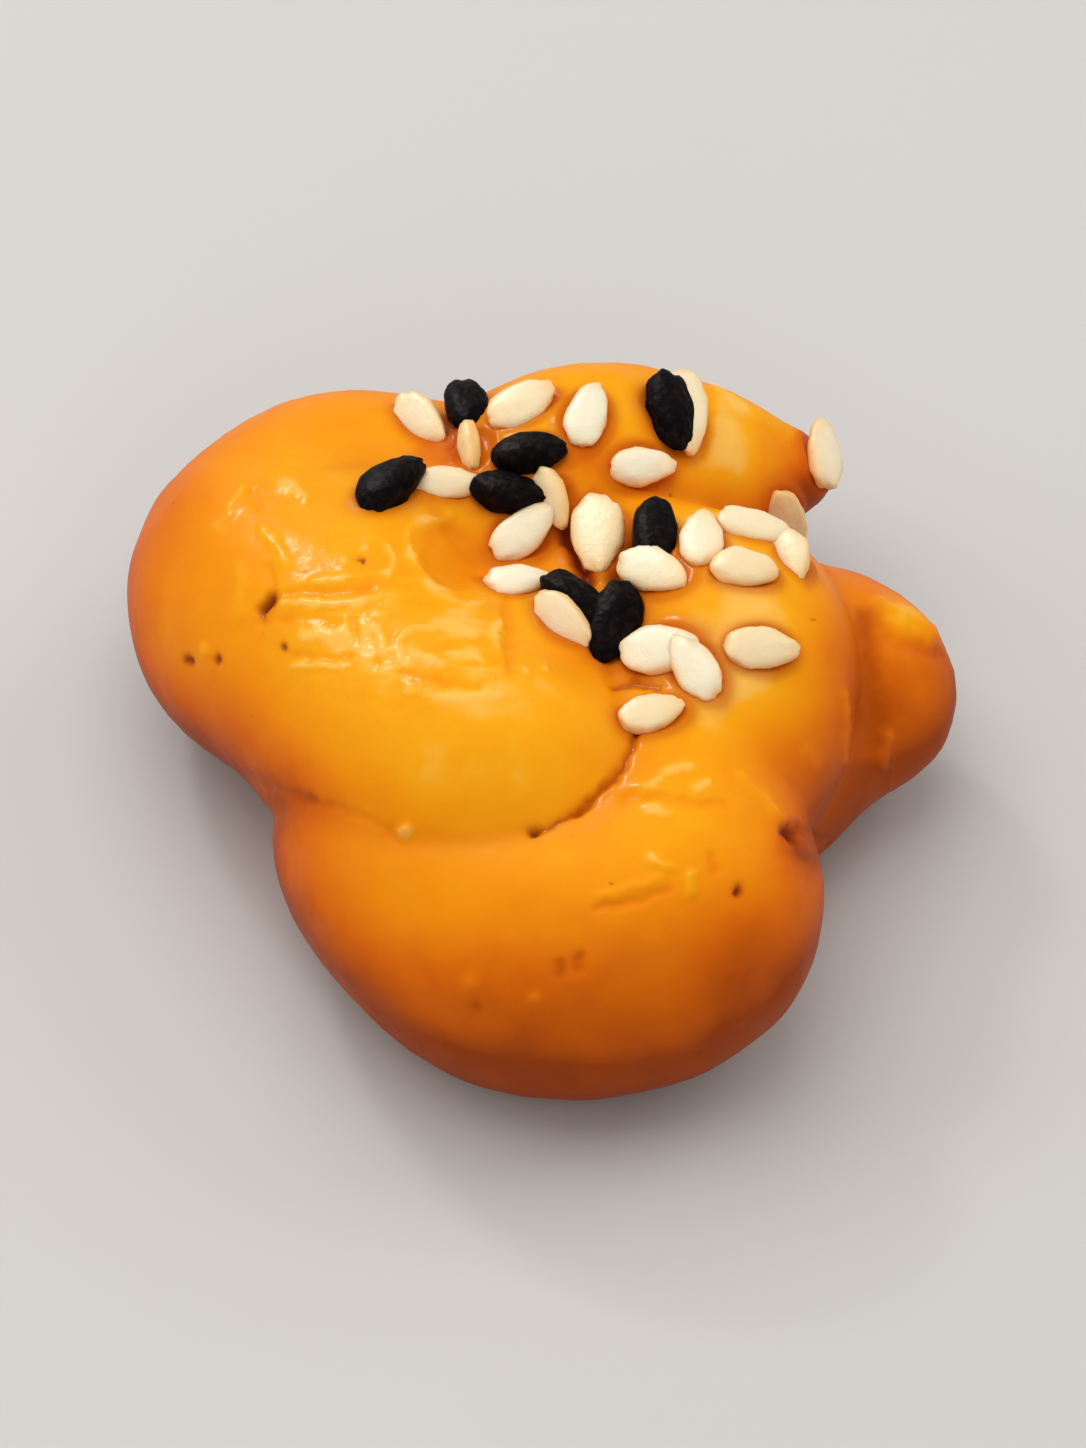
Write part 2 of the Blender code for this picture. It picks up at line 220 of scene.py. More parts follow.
# Deep folds between two strands, whose inside is red and darker: painted shade in the fold, partly redder
# glaze.
SLITS = {
    "right_slit": (0.55, -0.30, [(15.0, 10.7), (15.3, 9.0), (15.4, 7.0), (15.3, 4.6)]),
    "left_slit": (0.38, -0.10, [(-13.6, 2.9), (-12.6, 2.6)]),
    "left_slit_2": (0.24, -0.08, [(-12.6, 2.6), (-10.8, 2.15)]),
    "notch_slit": (0.32, -0.20, [(11.6, 0.6), (12.6, 0.2), (13.4, -0.3)]),
    "seed_fold_1": (0.34, -0.30, [(0.7, 16.3), (1.0, 14.8), (1.6, 13.4), (2.2, 12.2)]),
    "seed_fold_2": (0.34, -0.30, [(4.5, 15.4), (4.0, 14.0), (3.2, 12.5)]),
    "seed_fold_3": (0.22, -0.15, [(3.4, 7.4), (4.3, 7.6), (5.3, 7.4)]),
    "seed_fold_4": (0.40, -0.10, [(-4.4, 19.8), (-4.2, 18.6)]),
    "tip_crack": (0.18, -0.30, [(4.4, 5.4), (4.0, 4.3), (3.4, 3.2), (2.5, 2.5), (1.6, 1.6)]),
    "tip_crack_2": (0.16, -0.14, [(1.6, 1.6), (0.5, 1.0), (-0.4, 0.6)]),
}
# Burst bubbles scattered over the sides that the view doesn't show.
BUBBLES = 14
BUBBLES_ABOVE = 2.5
BUBBLE_WIDTH = 0.22
BUBBLE_DEPTH = 0.20
BUBBLE_DRAW = 3
HIDDEN = 0.05  # a point shown less than this is on a hidden side
# Where the glaze has shrunk into fine wrinkles: (right, up, radius).
WRINKLED = [(-8.4, 10.4, 4.2), (-3.6, 9.0, 3.2)]
# Where a seed has come off: (right, up, turn), and the length and width of its print.
LOST_SEED = (-4.2, 13.3, -40)
LOST_SEED_SIZE = (3.6, 3.4)
# Spots where the glaze is made yellower than its height alone makes it, or redder where the last number is
# less
# than 0: (right, up, radius, share). They are mostly painted light and painted shade: yellower where light
# falls, with painted highlights on the back tail, the tail's fold and the crease's drop, and redder in folds,
# between seeds and on sides turned from the light.
LIGHT_AND_SHADE_TINTS = [
    (-2.5, 5.0, 4.5, 0.05), (-0.5, -1.5, 4.0, 0.10), (9.2, 8.3, 3.4, 0.15), (9.2, 18.8, 3.0, 0.26),
    (8.8, 17.0, 1.8, 0.16), (16.9, 10.7, 1.2, 0.35), (10.3, 11.8, 2.2, 0.05), (-7.0, -1.5, 2.5, 0.12),
    (-16.5, 15.5, 3.5, -0.14), (-17.0, 8.0, 3.0, 0.16), (-11.8, 2.2, 1.8, -0.30), (-6.4, 0.6, 0.4, 0.18),
    (15.2, 6.6, 1.6, -0.30), (13.2, 9.4, 2.0, -0.12), (13.5, 3.0, 3.0, -0.15), (-4.5, 18.4, 1.3, -0.45),
    (2.0, 18.2, 1.2, -0.45), (14.0, 9.0, 1.4, -0.15), (12.9, 17.0, 1.6, -0.35), (-4.0, 13.3, 1.4, -0.15),
    (0.0, -5.0, 5.0, -0.15), (9.0, -4.5, 3.5, -0.22), (4.5, 12.0, 2.0, -0.20), (2.0, 9.5, 1.5, -0.25),
    (12.0, 0.0, 1.2, -0.50),
]
TINT_FADES = (-0.45, 0.35)  # a tint fades round the side between these shares of facing the view

# The uneven fields that the relief and the toasting draw on.
NOISE = {
    "broad": {"size": 7.0, "seed": 1},
    "middling": {"size": 2.4, "seed": 2},
    "folds": {"size": 1.2, "octaves": 3, "stretch": (2.4, 1, 1), "seed": 3},
    "foot": {"size": 1.6, "seed": 4},
    "lift": {"size": 2.2, "octaves": 3, "seed": 5},
    "hidden_folds": {"size": 8.0, "seed": 6},
    "stray_across": {"size": 0.8, "seed": 7},
    "stray_up": {"size": 0.8, "seed": 8},
    "strength": {"size": 1.3, "seed": 9},
}
NOISE_APART = 13.7  # how far apart two fields lie in the noise
FALL = 1.0  # how fast finer octaves get weaker
FINER = 2.0  # how much finer each octave is
STRENGTH_SWING = 0.8

SHOWN_FULL = 0.25  # a face turned so far to the view is shown in full
SLIT_FULL = 0.3  # where a point is shown this well, a slit is at full strength
CLEAR_OF_SKIN = 0.2  # how far above its point a line of sight starts
FAR = 9.0  # a distance beyond anything that matters

# Heights and depths of the relief.
BROAD_HEIGHT = 0.20
MIDDLING_HEIGHT = 0.05
WRINKLE_HEIGHT = 0.08
SKIN_HEIGHT = 0.015
FOLD_LEVEL = 0.5
CREASE_WIDTH = 0.45
WIDE_CREASE_WIDTH = 1.7
CREASE_DEPTH = 0.10
HIDDEN_CREASE_DEPTH = 0.16
CREASE_SWING = 0.08
GLAZE_RING = {"away": 0.14, "width": 0.17, "height": 0.11}
SEED_BED = {"edge": 0.4, "depth": 0.12}
PRINT_FLOOR = 0.60
PRINT_DEPTH = 0.12
HIDDEN_FOLDS = (0.05, 0.45)  # between these values of their field the hidden sides begin to wrinkle

# The underside, and the foot that bulges a little just above it.
BASE_BELOW = (0.9, 0.1)
BASE_FACING = (-0.2, -0.7)
FOOT_REACH = 0.55
FOOT_BULGE = 0.12
FOOT_SWING = 0.18
LIFT = 0.10
LIFT_SWING = 0.30

# How toasted and shaded the glaze is made: darker and redder by height, from the top down, and by the lean of
# the face, partly real browning and partly painted shade; and by the marks, paler on ridges and redder in
# grooves, a painted highlight and painted shade.
TOAST_AND_SHADE_FROM = 14.6
TOAST_AND_SHADE_OVER = 10.6
LOW_TOAST_AND_SHADE = 0.75
LEAN_FROM = 0.95
LEAN_OVER = 1.2
LEAN_TOAST_AND_SHADE = 0.30
TOAST_EVERYWHERE = 0.12
TOAST_BROAD = 0.08
TOAST_MIDDLING = 0.05
# How much paler the ridges of the marks make the glaze and how much redder the grooves: painted highlight and
# painted shade.
MARK_HIGHLIGHT_AND_SHADE = 0.14
MARKS_RANGE = (-0.8, 1.2)
# The wrinkles are paler on their ridges and redder in their troughs: painted highlight and painted shade.
FOLD_HIGHLIGHT_AND_SHADE = 0.14
FOLD_SHADE_LEVEL = 0.25
# How strongly slits and pits take the crease's red, how dark a slit gets, and how much less red a crease is
# on faces shown to the view: painted shade.
SLIT_REDNESS = 1.4
PIT_REDNESS = 1.2
SLIT_DARKNESS = 0.25
SHOWN_CREASE_LOSS = 0.4
# How far round a seed the glaze is reddened and darkened: painted shade, partly glaze pooled by the seed.
TOUCH_WIDTH = 0.42
PRINT_EDGE = (1.05, 0.7)


def smooth_path(points, steps):
    """Points on a Catmull-Rom spline through the given ones, with the radius carried along."""
    knots = np.array(points, float)
    knots = np.vstack([2 * knots[0] - knots[1], knots, 2 * knots[-1] - knots[-2]])
    path = []
    for before, start, end, after in zip(knots, knots[1:], knots[2:], knots[3:]):
        for step in range(steps):
            t = step / steps
            bend = 2 * before - 5 * start + 4 * end - after
            twist = 3 * start - before - 3 * end + after
            path.append(start + 0.5 * t * (end - before) + 0.5 * t**2 * bend + 0.5 * t**3 * twist)
    path.append(np.array(points[-1], float))
    return np.array(path)


PATH = smooth_path(ROPE, STEPS)


def blend_low(a, b, grad_a, grad_b, width):
    """The lower of two distances, rounded where they meet, with its gradient."""
    share = np.clip(0.5 + 0.5 * (b - a) / width, 0, 1)
    low = b + (a - b) * share - width * share * (1 - share)
    grad = grad_a * share[:, None] + grad_b * (1 - share[:, None])
    return low, grad


def ball_distance(points, ball):
    """Distance to a ball, with its gradient."""
    away = points - ball[:3]
    reach = np.linalg.norm(away, axis=1)
    return reach - ball[3], away / reach[:, None]


def rope_distance(points):
    """Distance to the rope's surface, its gradient, and how much farther the next strand is."""
    away = points[:, None, :] - PATH[None, :, :3]
    reach = np.linalg.norm(away, axis=2)
    gap = reach - PATH[None, :, 3]
    nearest = gap.argmin(axis=1)
    least = gap.min(axis=1)
    weight = np.exp(-MELT * (gap - least[:, None]))
    total = weight.sum(axis=1)
    spacing = np.linalg.norm(np.diff(PATH[:, :3], axis=0), axis=1).mean()
    usual = math.sqrt(2 * math.pi * PATH[:, 3].mean() / MELT) / spacing
    distance = least - np.log(total / usual) / MELT
    grad = (away / reach[..., None] * (weight / total[:, None])[..., None]).sum(axis=1)
    apart = np.abs(np.arange(len(PATH))[None] - nearest[:, None])
    other = np.where(apart > OTHER_STRAND, gap, np.inf).min(axis=1) - least
    return distance, grad, other


def dough_distance(points):
    """Distance to the dough's surface, its gradient, and how much farther the next strand is."""
    chunks = []
    for part in np.array_split(points, max(1, len(points) // POINTS_AT_ONCE)):
        distance, grad, other = rope_distance(part)
        for ball in CORE:
            far, grad_ball = ball_distance(part, np.array(ball))
            distance, grad = blend_low(distance, far, grad, grad_ball, CORE_BLEND)
        under = np.tile((0.0, 0.0, -1.0), (len(part), 1))
        low, grad = blend_low(-distance, part[:, 2], -grad, -under, BASE_ROUND)
        chunks.append((-low, -grad, other))
    return [np.concatenate(column) for column in zip(*chunks)]


def settle(points):
    """The points moved onto the dough's surface, their outward directions and the next strand's gap."""
    for _ in range(SETTLE_STEPS):
        distance, grad, other = dough_distance(points)
        steep = (grad**2).sum(axis=1)
        points = points - grad * (distance / np.maximum(steep, SETTLE_STEEP))[:, None]
    normal = grad / np.linalg.norm(grad, axis=1)[:, None]
    return points, normal, other


def strands_mesh():
    """Balls along the rope and in the core, none of them lower than the base."""
    bm = bmesh.new()
    for x, y, z, radius in [*PATH, *CORE]:
        place = Matrix.Translation((x, y, z))
        bmesh.ops.create_icosphere(bm, subdivisions=BALL_DETAIL, radius=radius, matrix=place)
    for vert in bm.verts:
        vert.co.z = max(vert.co.z, 0)
    mesh = bpy.data.meshes.new("strands")
    bm.to_mesh(mesh)
    bm.free()
    return mesh


def skin_mesh():
    """An even mesh of small faces round the strands, finer where the glaze has its marks."""
    obj = bpy.data.objects.new("strands", strands_mesh())
    bpy.context.scene.collection.objects.link(obj)
    skin = obj.modifiers.new("skin", "REMESH")
    skin.mode = "VOXEL"
    skin.voxel_size = SKIN_CELL
    graph = bpy.context.evaluated_depsgraph_get()
    mesh = bpy.data.meshes.new_from_object(obj.evaluated_get(graph))
    bpy.data.objects.remove(obj, do_unlink=True)
    bm = bmesh.new()
    bm.from_mesh(mesh)
    depth = seen_axes()[2]
    seen = {edge for face in bm.faces if face.normal.dot(depth) < -FINE_FACING for edge in face.edges}
    bmesh.ops.subdivide_edges(bm, edges=list(seen), cuts=1, use_grid_fill=True)
    bmesh.ops.triangulate(bm, faces=[face for face in bm.faces if len(face.verts) > 4])
    bm.to_mesh(mesh)
    bm.free()
    return mesh


def read_points(mesh):
    flat = np.zeros(len(mesh.vertices) * 3)
    mesh.vertices.foreach_get("co", flat)
    return flat.reshape(-1, 3)


def write_points(mesh, points):
    mesh.vertices.foreach_set("co", np.asarray(points, np.float32).ravel())
    mesh.update()


def write_attribute(mesh, name, values):
    layer = mesh.attributes.new(name, "FLOAT", "POINT")
    layer.data.foreach_set("value", np.asarray(values, np.float32))


def lumps(points, size, octaves=2, stretch=(1, 1, 1), seed=0):
    """Noise from about -1 to 1 whose lumps are about size across, drawn out along an axis by stretch."""
    scaled = points / (size * np.array(stretch)) + NOISE_APART * seed
    return np.array([noise.fractal(Vector(p), FALL, FINER, octaves) for p in scaled])


def field(points, name):
    """One of the uneven fields at the points."""
    return lumps(points, **NOISE[name])


def hill(distance, width):
    """1 where the distance is 0, and about a third where it is the width."""
    return np.exp(-((distance / width) ** 2))


def smoothstep(low, high, values):
    t = np.clip((values - low) / (high - low), 0, 1)
    return t * t * (3 - 2 * t)


def seen_axes():
    """The right, up and depth directions of the view in which the marks and seeds are laid out."""
    tilt = math.radians(VIEW_TILT)
    up = Vector((0, math.sin(tilt), math.cos(tilt)))
    depth = Vector((0, math.cos(tilt), -math.sin(tilt)))
    return Vector((1, 0, 0)), up, depth


def meet(surface, start, along):
    """Where the line from start meets the dough, or a place close by where it passes it nearest."""
    point, _, _, _ = surface.ray_cast(start, along)
    if point is None:
        line = [start + along * (OUTSIDE + step / 2) for step in range(-OUTSIDE, OUTSIDE)]
        passed = min(line, key=lambda spot: surface.find_nearest(spot)[3])
        touched, _, _, gap = surface.find_nearest(passed)
        point = touched + (passed - touched) * min(1, STAND_OFF / gap)
    return point


def place_on(surface, start, along, heading, kind, roll=0, size=1):
    """A seed's place where the line meets the dough. Seen along the line, it points to the heading."""
    point = meet(surface, start, along)
    length, width, _ = kind["size"]
    beside = along.cross(heading)
    offsets = [heading * length, heading * -length, beside * width, beside * -width]
    rests = [surface.find_nearest(point + offset * SEED_REACH) for offset in offsets]
    facing = sum((rest[1] for rest in rests), Vector()).normalized() - SEED_LEAN * along
    facing.normalize()
    ahead = heading - along * (heading.dot(facing) / min(along.dot(facing), -SEED_LEAN))
    ahead = (ahead - facing * ahead.dot(facing)).normalized()
    sunk = sum((rest[0] - point).dot(along) for rest in rests) / len(rests)
    turn = Matrix((ahead, facing.cross(ahead), facing)).transposed().to_4x4()
    rolled = turn @ Matrix.Rotation(math.radians(roll), 4, "X")
    return Matrix.Translation(point + along * sunk) @ rolled @ Matrix.Diagonal((size, size, 1, 1))


def seed_places(surface):
    """Every seed as its kind and its place."""
    right, up, depth = seen_axes()
    places = []
    for name, seen in (("sesame", SESAME_SEEN), ("nigella", NIGELLA_SEEN)):
        for across, up_by, turn, roll, size in seen:
            angle = math.radians(turn)
            start = across * right + up_by * up - OUTSIDE * depth
            heading = math.cos(angle) * right + math.sin(angle) * up
            places.append((name, place_on(surface, start, depth, heading, KINDS[name], roll, size)))
    return places + back_places(surface)


def back_places(surface):
    """Seeds scattered over the back, none close to another, each as its kind and its place."""
    draw = random.Random(BACK_DRAW)
    left, right, low, high = BACK_PATCH
    least, most = BACK_FACING
    forward = Vector((0, -1, 0))
    depth = seen_axes()[2]
    taken = []
    places = []
    while len(places) < BACK_SEEDS:
        spot = Vector((draw.uniform(left, right), OUTSIDE, draw.uniform(low, high)))
        angle = draw.uniform(0, math.pi)
        away = surface.ray_cast(spot, forward)[1].dot(depth)
        if not least < away < most or any((spot - other).length < BACK_APART for other in taken):
            continue
        kind = "sesame" if len(places) % BACK_NIGELLA_EVERY else "nigella"
        taken.append(spot)
        heading = Vector((math.cos(angle), 0, math.sin(angle)))
        places.append((kind, place_on(surface, spot, forward, heading, KINDS[kind])))
    return places


def seed_contact(points, places):
    """How far each point is outside the outline of a seed that lies near it, less than 0 under the seed."""
    least = np.full(len(points), FAR)
    for name, place in places:
        length, width, _ = KINDS[name]["size"]
        local = np.array(place.inverted())
        across = points @ local[:3, :3].T + local[:3, 3]
        near = np.abs(across).max(axis=1) < length
        ratio = np.sqrt((across[near, 0] / (length / 2)) ** 2 + (across[near, 1] / (width / 2)) ** 2)
        gap = (ratio - 1) * width / 2 + 0.5 * np.abs(across[near, 2])
        least[near] = np.minimum(least[near], gap)
    return least


def seen_from_front(points, normal, surface):
    """The points' places in the view (right, up), and how well each can be seen from there, 0 to 1."""
    right, up, depth = (np.array(axis) for axis in seen_axes())
    spots = np.stack([points @ right, points @ up], axis=1)
    shown = smoothstep(0, SHOWN_FULL, -(normal @ depth))
    viewer = Vector(-depth)
    for index in np.flatnonzero(shown > 0):
        start = Vector(points[index] + CLEAR_OF_SKIN * normal[index])
        if surface.ray_cast(start, viewer)[0] is not None:
            shown[index] = 0
    return spots, shown


def line_distance(spots, line):
    """Distance of each spot to a line of points in the view."""
    line = np.array(line)
    if len(line) == 1:
        return np.linalg.norm(spots - line[0], axis=1)
    least = np.full(len(spots), np.inf)
    for start, end in zip(line, line[1:]):
        along = end - start
        share = np.clip((spots - start) @ along / (along @ along), 0, 1)
        least = np.minimum(least, np.linalg.norm(spots - start - share[:, None] * along, axis=1))
    return least


def lost_seed(spots):
    """Where a seed has come off: 0 in the middle of its print, 1 on its rim."""
    across, up_by, turn = LOST_SEED
    angle = math.radians(turn)
    ahead = np.array((math.cos(angle), math.sin(angle)))
    beside = np.array((-math.sin(angle), math.cos(angle)))
    away = spots - (across, up_by)
    return np.hypot(away @ ahead / (LOST_SEED_SIZE[0] / 2), away @ beside / (LOST_SEED_SIZE[1] / 2))


def hidden_bubbles(points, shown):
    """Places of burst bubbles on the sides that the view doesn't show."""
    draw = random.Random(BUBBLE_DRAW)
    hidden = points[(shown < HIDDEN) & (points[:, 2] > BUBBLES_ABOVE)]
    return [hidden[draw.randrange(len(hidden))] for _ in range(BUBBLES)]


def surface_tree(mesh):
    """The mesh as a tree that lines can be cast at."""
    bm = bmesh.new()
    bm.from_mesh(mesh)
    tree = BVHTree.FromBMesh(bm)
    bm.free()
    return tree


def drawn(spots, shown, marks):
    """The height of each mark, and how strong it is at each point, one mark after the other."""
    for width, height, line in marks.values():
        yield height, shown * hill(line_distance(spots, line), width)


def strayed(points, spots):
    """The spots moved a little this way and that, so that the marks drawn on them get ragged."""
    stray = np.stack([field(points, "stray_across"), field(points, "stray_up")], axis=1)
    return spots + RAGGED * stray


def drawn_relief(points, spots, shown):
    """The relief of the drawn marks, the painted highlight of their pale ridges and painted shade of their
    red grooves, and what is in a slit or a pit.
    """
    relief, marks, slit, pit = np.zeros((4, len(points)))
    strength = 1 + STRENGTH_SWING * field(points, "strength")
    for height, shape in drawn(spots, shown, STROKES):
        relief += height * shape
        marks += height / FULL_MARK * shape * strength
    for height, shape in drawn(spots, smoothstep(0, SLIT_FULL, shown), SLITS):
        relief += height * shape
        slit = np.maximum(slit, shape)
    for height, shape in drawn(spots, shown, PITS):
        relief += height * shape
        pit = np.maximum(pit, shape)
    for middle in hidden_bubbles(points, shown):
        shape = hill(np.linalg.norm(points - middle, axis=1), BUBBLE_WIDTH)
        relief -= BUBBLE_DEPTH * shape
        pit = np.maximum(pit, shape)
    return relief, marks, slit, pit


def wrinkling(points, spots, shown):
    """How far the glaze is wrinkled at each point, 0 to 1."""
    wrinkle = (1 - shown) * smoothstep(*HIDDEN_FOLDS, field(points, "hidden_folds"))
    for across, up_by, size in WRINKLED:
        wrinkle = np.maximum(wrinkle, shown * hill(line_distance(spots, [(across, up_by)]), size))
    return wrinkle


def light_and_shade_tinting(spots, normal):
    """How much yellower the glaze is made at each point than its height alone makes it: painted light and
    shade.
    """
    tint = np.zeros(len(spots))
    turned = smoothstep(*TINT_FADES, -(normal @ np.array(seen_axes()[2])))
    for across, up_by, size, share in LIGHT_AND_SHADE_TINTS:
        tint += share * turned * hill(line_distance(spots, [(across, up_by)]), size)
    return tint


def shape_dough(mesh):
    """Settles the mesh on the dough's form, then gives it its relief and the values its material reads."""
    points, normal, other = settle(read_points(mesh))
    write_points(mesh, points)
    surface = surface_tree(mesh)
    places = seed_places(surface)
    spots, shown = seen_from_front(points, normal, surface)
    ratio = np.where(shown > 0, lost_seed(spots), FAR)
    spots = strayed(points, spots)

    base = smoothstep(*BASE_BELOW, points[:, 2]) * smoothstep(*BASE_FACING, normal[:, 2])
    crease = hill(other, CREASE_WIDTH)
    contact = seed_contact(points, places)
    wrinkle = wrinkling(points, spots, shown)
    broad, middling, folds = (field(points, name) for name in ("broad", "middling", "folds"))

    relief, marks, slit, pit = drawn_relief(points, spots, shown)
    relief += BROAD_HEIGHT * broad + MIDDLING_HEIGHT * middling
    relief += (WRINKLE_HEIGHT * wrinkle + SKIN_HEIGHT) * (FOLD_LEVEL - np.abs(folds))
    relief -= crease * (CREASE_DEPTH + HIDDEN_CREASE_DEPTH * (1 - shown) + CREASE_SWING * middling)
    relief += GLAZE_RING["height"] * hill(contact - GLAZE_RING["away"], GLAZE_RING["width"])
    relief -= SEED_BED["depth"] * smoothstep(0, -SEED_BED["edge"], contact)
    relief -= PRINT_DEPTH * smoothstep(1, PRINT_FLOOR, ratio)
    foot = hill(points[:, 2], FOOT_REACH) * (1 - base)
    relief += foot * (FOOT_BULGE + FOOT_SWING * field(points, "foot"))
    relief *= 1 - base
    lift = base * np.maximum(0, LIFT + LIFT_SWING * field(points, "lift"))
    shaped = points + normal * relief[:, None]
    shaped[:, 2] = np.maximum(shaped[:, 2] + lift, 0)
    write_points(mesh, shaped)

    # Darker and redder lower down and on faces leaning away from the top: partly real browning, partly
    # painted shade.
    toast_and_painted_light = LOW_TOAST_AND_SHADE * np.clip((TOAST_AND_SHADE_FROM - points[:, 2]) / TOAST_AND_SHADE_OVER, 0, 1)
    toast_and_painted_light += LEAN_TOAST_AND_SHADE * np.clip((LEAN_FROM - normal[:, 2]) / LEAN_OVER, 0, 1)
    toast_and_painted_light += TOAST_EVERYWHERE + TOAST_BROAD * broad + TOAST_MIDDLING * middling
    # Painted light and shade: paler at lit spots and on the ridges of marks and wrinkles, redder at shaded
    # spots and in grooves.
    toast_and_painted_light -= light_and_shade_tinting(spots, normal) + MARK_HIGHLIGHT_AND_SHADE * np.clip(marks, *MARKS_RANGE)
    toast_and_painted_light -= FOLD_HIGHLIGHT_AND_SHADE * wrinkle * (FOLD_SHADE_LEVEL - np.abs(folds))
    # Redder and darker in the folds between strands, in slits and in pits, less so on faces shown to the
    # view: painted shade, partly redder glaze.
    folded = np.clip((hill(other, WIDE_CREASE_WIDTH) + crease) / 2, 0, 1) * (1 - SHOWN_CREASE_LOSS * shown)
    values = {
        "toast_and_painted_light": np.clip(toast_and_painted_light, 0, 1),
        "crease": np.maximum(folded, np.maximum(SLIT_REDNESS * slit, PIT_REDNESS * pit)),
        "pit": np.maximum(pit, SLIT_DARKNESS * slit),
        "wrinkle": wrinkle,
        # Redder and darker round the seeds: painted shade, partly glaze pooled by them.
        "touch": hill(np.maximum(contact, 0), TOUCH_WIDTH),
        "print": smoothstep(*PRINT_EDGE, ratio),
        "base": base,
    }
    for name, shares in values.items():
        write_attribute(mesh, name, shares)
    return places


def finished_object(name, mesh, replaced=None):
    """Brings a mesh in mm into the frame, as a piece that rides on the part."""
    mesh.transform(Matrix.Scale(MM, 4) @ Matrix.Translation((-MIDDLE[0], -MIDDLE[1], 0)))
    mesh.shade_smooth()
    obj = bpy.data.objects.new(name, mesh)
    bpy.context.scene.collection.objects.link(obj)
    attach(obj, "root")
    if replaced:
        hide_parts(replaced)
    return obj


# A sesame seed's form: how its taper starts, how flat its faces are, how full its edge is, and how much it
# thins to the point.
TAPER_POWER = 1.2
FLAT_POWER = 0.75
EDGE_FULLNESS = 0.10
EDGE_POWER = 4
THIN_POWER = 0.6

# A nigella seed's blunt ridges.
RIDGES = 3
RIDGE_HEIGHT = 0.12
RIDGE_TURN = 0.6


def sesame_form(ahead, side, high):
    """A point of a unit ball moved to a hulled sesame seed's form: a flat drop with a dulled edge."""
    length, width, thickness = SESAME["size"]
    slim = 1 - SESAME["taper"] * ((ahead + 1) / 2) ** TAPER_POWER
    edge = math.hypot(ahead, side)
    flat = math.copysign(abs(high) ** FLAT_POWER, high) * (1 + EDGE_FULLNESS * edge**EDGE_POWER)
    return Vector((ahead * length, side * width * slim, flat * thickness * slim**THIN_POWER)) / 2


def nigella_form(ahead, side, high):
    """A point of a unit ball moved to a nigella seed's form: a drop with three blunt ridges."""
    length, width, thickness = NIGELLA["size"]
    angle = math.atan2(high, side)
    ridge = 1 + RIDGE_HEIGHT * math.cos(RIDGES * angle + RIDGE_TURN)
    slim = (1 - NIGELLA["taper"] * (ahead + 1) / 2) * ridge
    return Vector((ahead * length, side * width * slim, high * thickness * slim)) / 2


SEED_FORMS = {"sesame": sesame_form, "nigella": nigella_form}
SEED_SIDES = 26
SEED_RINGS = 18
SEED_UNEVEN = {"sesame": 0.10, "nigella": 0.12}
SEED_LUMPS = Vector((2.1, 2.1, 1.5))  # how often its skin rises and falls, along each axis of a unit ball
SEED_APART = 7.3  # how far apart two seeds lie in the noise
SEED_OCTAVES = 2
SEED_SCALE = (0.92, 1.08)
SEED_BEND = 0.12


def seeds_mesh(name, places):
    """All the seeds of one kind as one mesh, each a little different, with its tint and the height on it."""
    draw = random.Random(name)
    bm = bmesh.new()
    tint_layer = bm.verts.layers.float.new("tint")
    rise_layer = bm.verts.layers.float.new("rise")
    ahead_layer = bm.verts.layers.float.new("ahead")
    thickness = KINDS[name]["size"][2]
    for count, (kind, place) in enumerate(places):
        if kind != name:
            continue
        tint = TOASTED_SEEDS.get(count, draw.uniform(*SEED_TOAST))
        scale = Vector(draw.uniform(*SEED_SCALE) for _ in range(3))
        bend = draw.uniform(-SEED_BEND, SEED_BEND)
        seed = bmesh.ops.create_uvsphere(bm, u_segments=SEED_SIDES, v_segments=SEED_RINGS, radius=1)
        for vert in seed["verts"]:
            high, side, ahead = vert.co
            shaped = SEED_FORMS[name](ahead, side, high)
            shaped.y += bend * ahead * ahead
            spot = Vector((ahead, side, high)) * SEED_LUMPS + Vector((0, 0, SEED_APART * count))
            shaped *= 1 + SEED_UNEVEN[name] * noise.fractal(spot, FALL, FINER, SEED_OCTAVES)
            shaped *= scale
            vert[tint_layer] = tint
            vert[rise_layer] = 0.5 + shaped.z / thickness
            vert[ahead_layer] = ahead
            shaped.z += SEED_RAISED * thickness
            vert.co = place @ shaped
    bmesh.ops.recalc_face_normals(bm, faces=bm.faces)
    mesh = bpy.data.meshes.new(name)
    bm.to_mesh(mesh)
    bm.free()
    return mesh


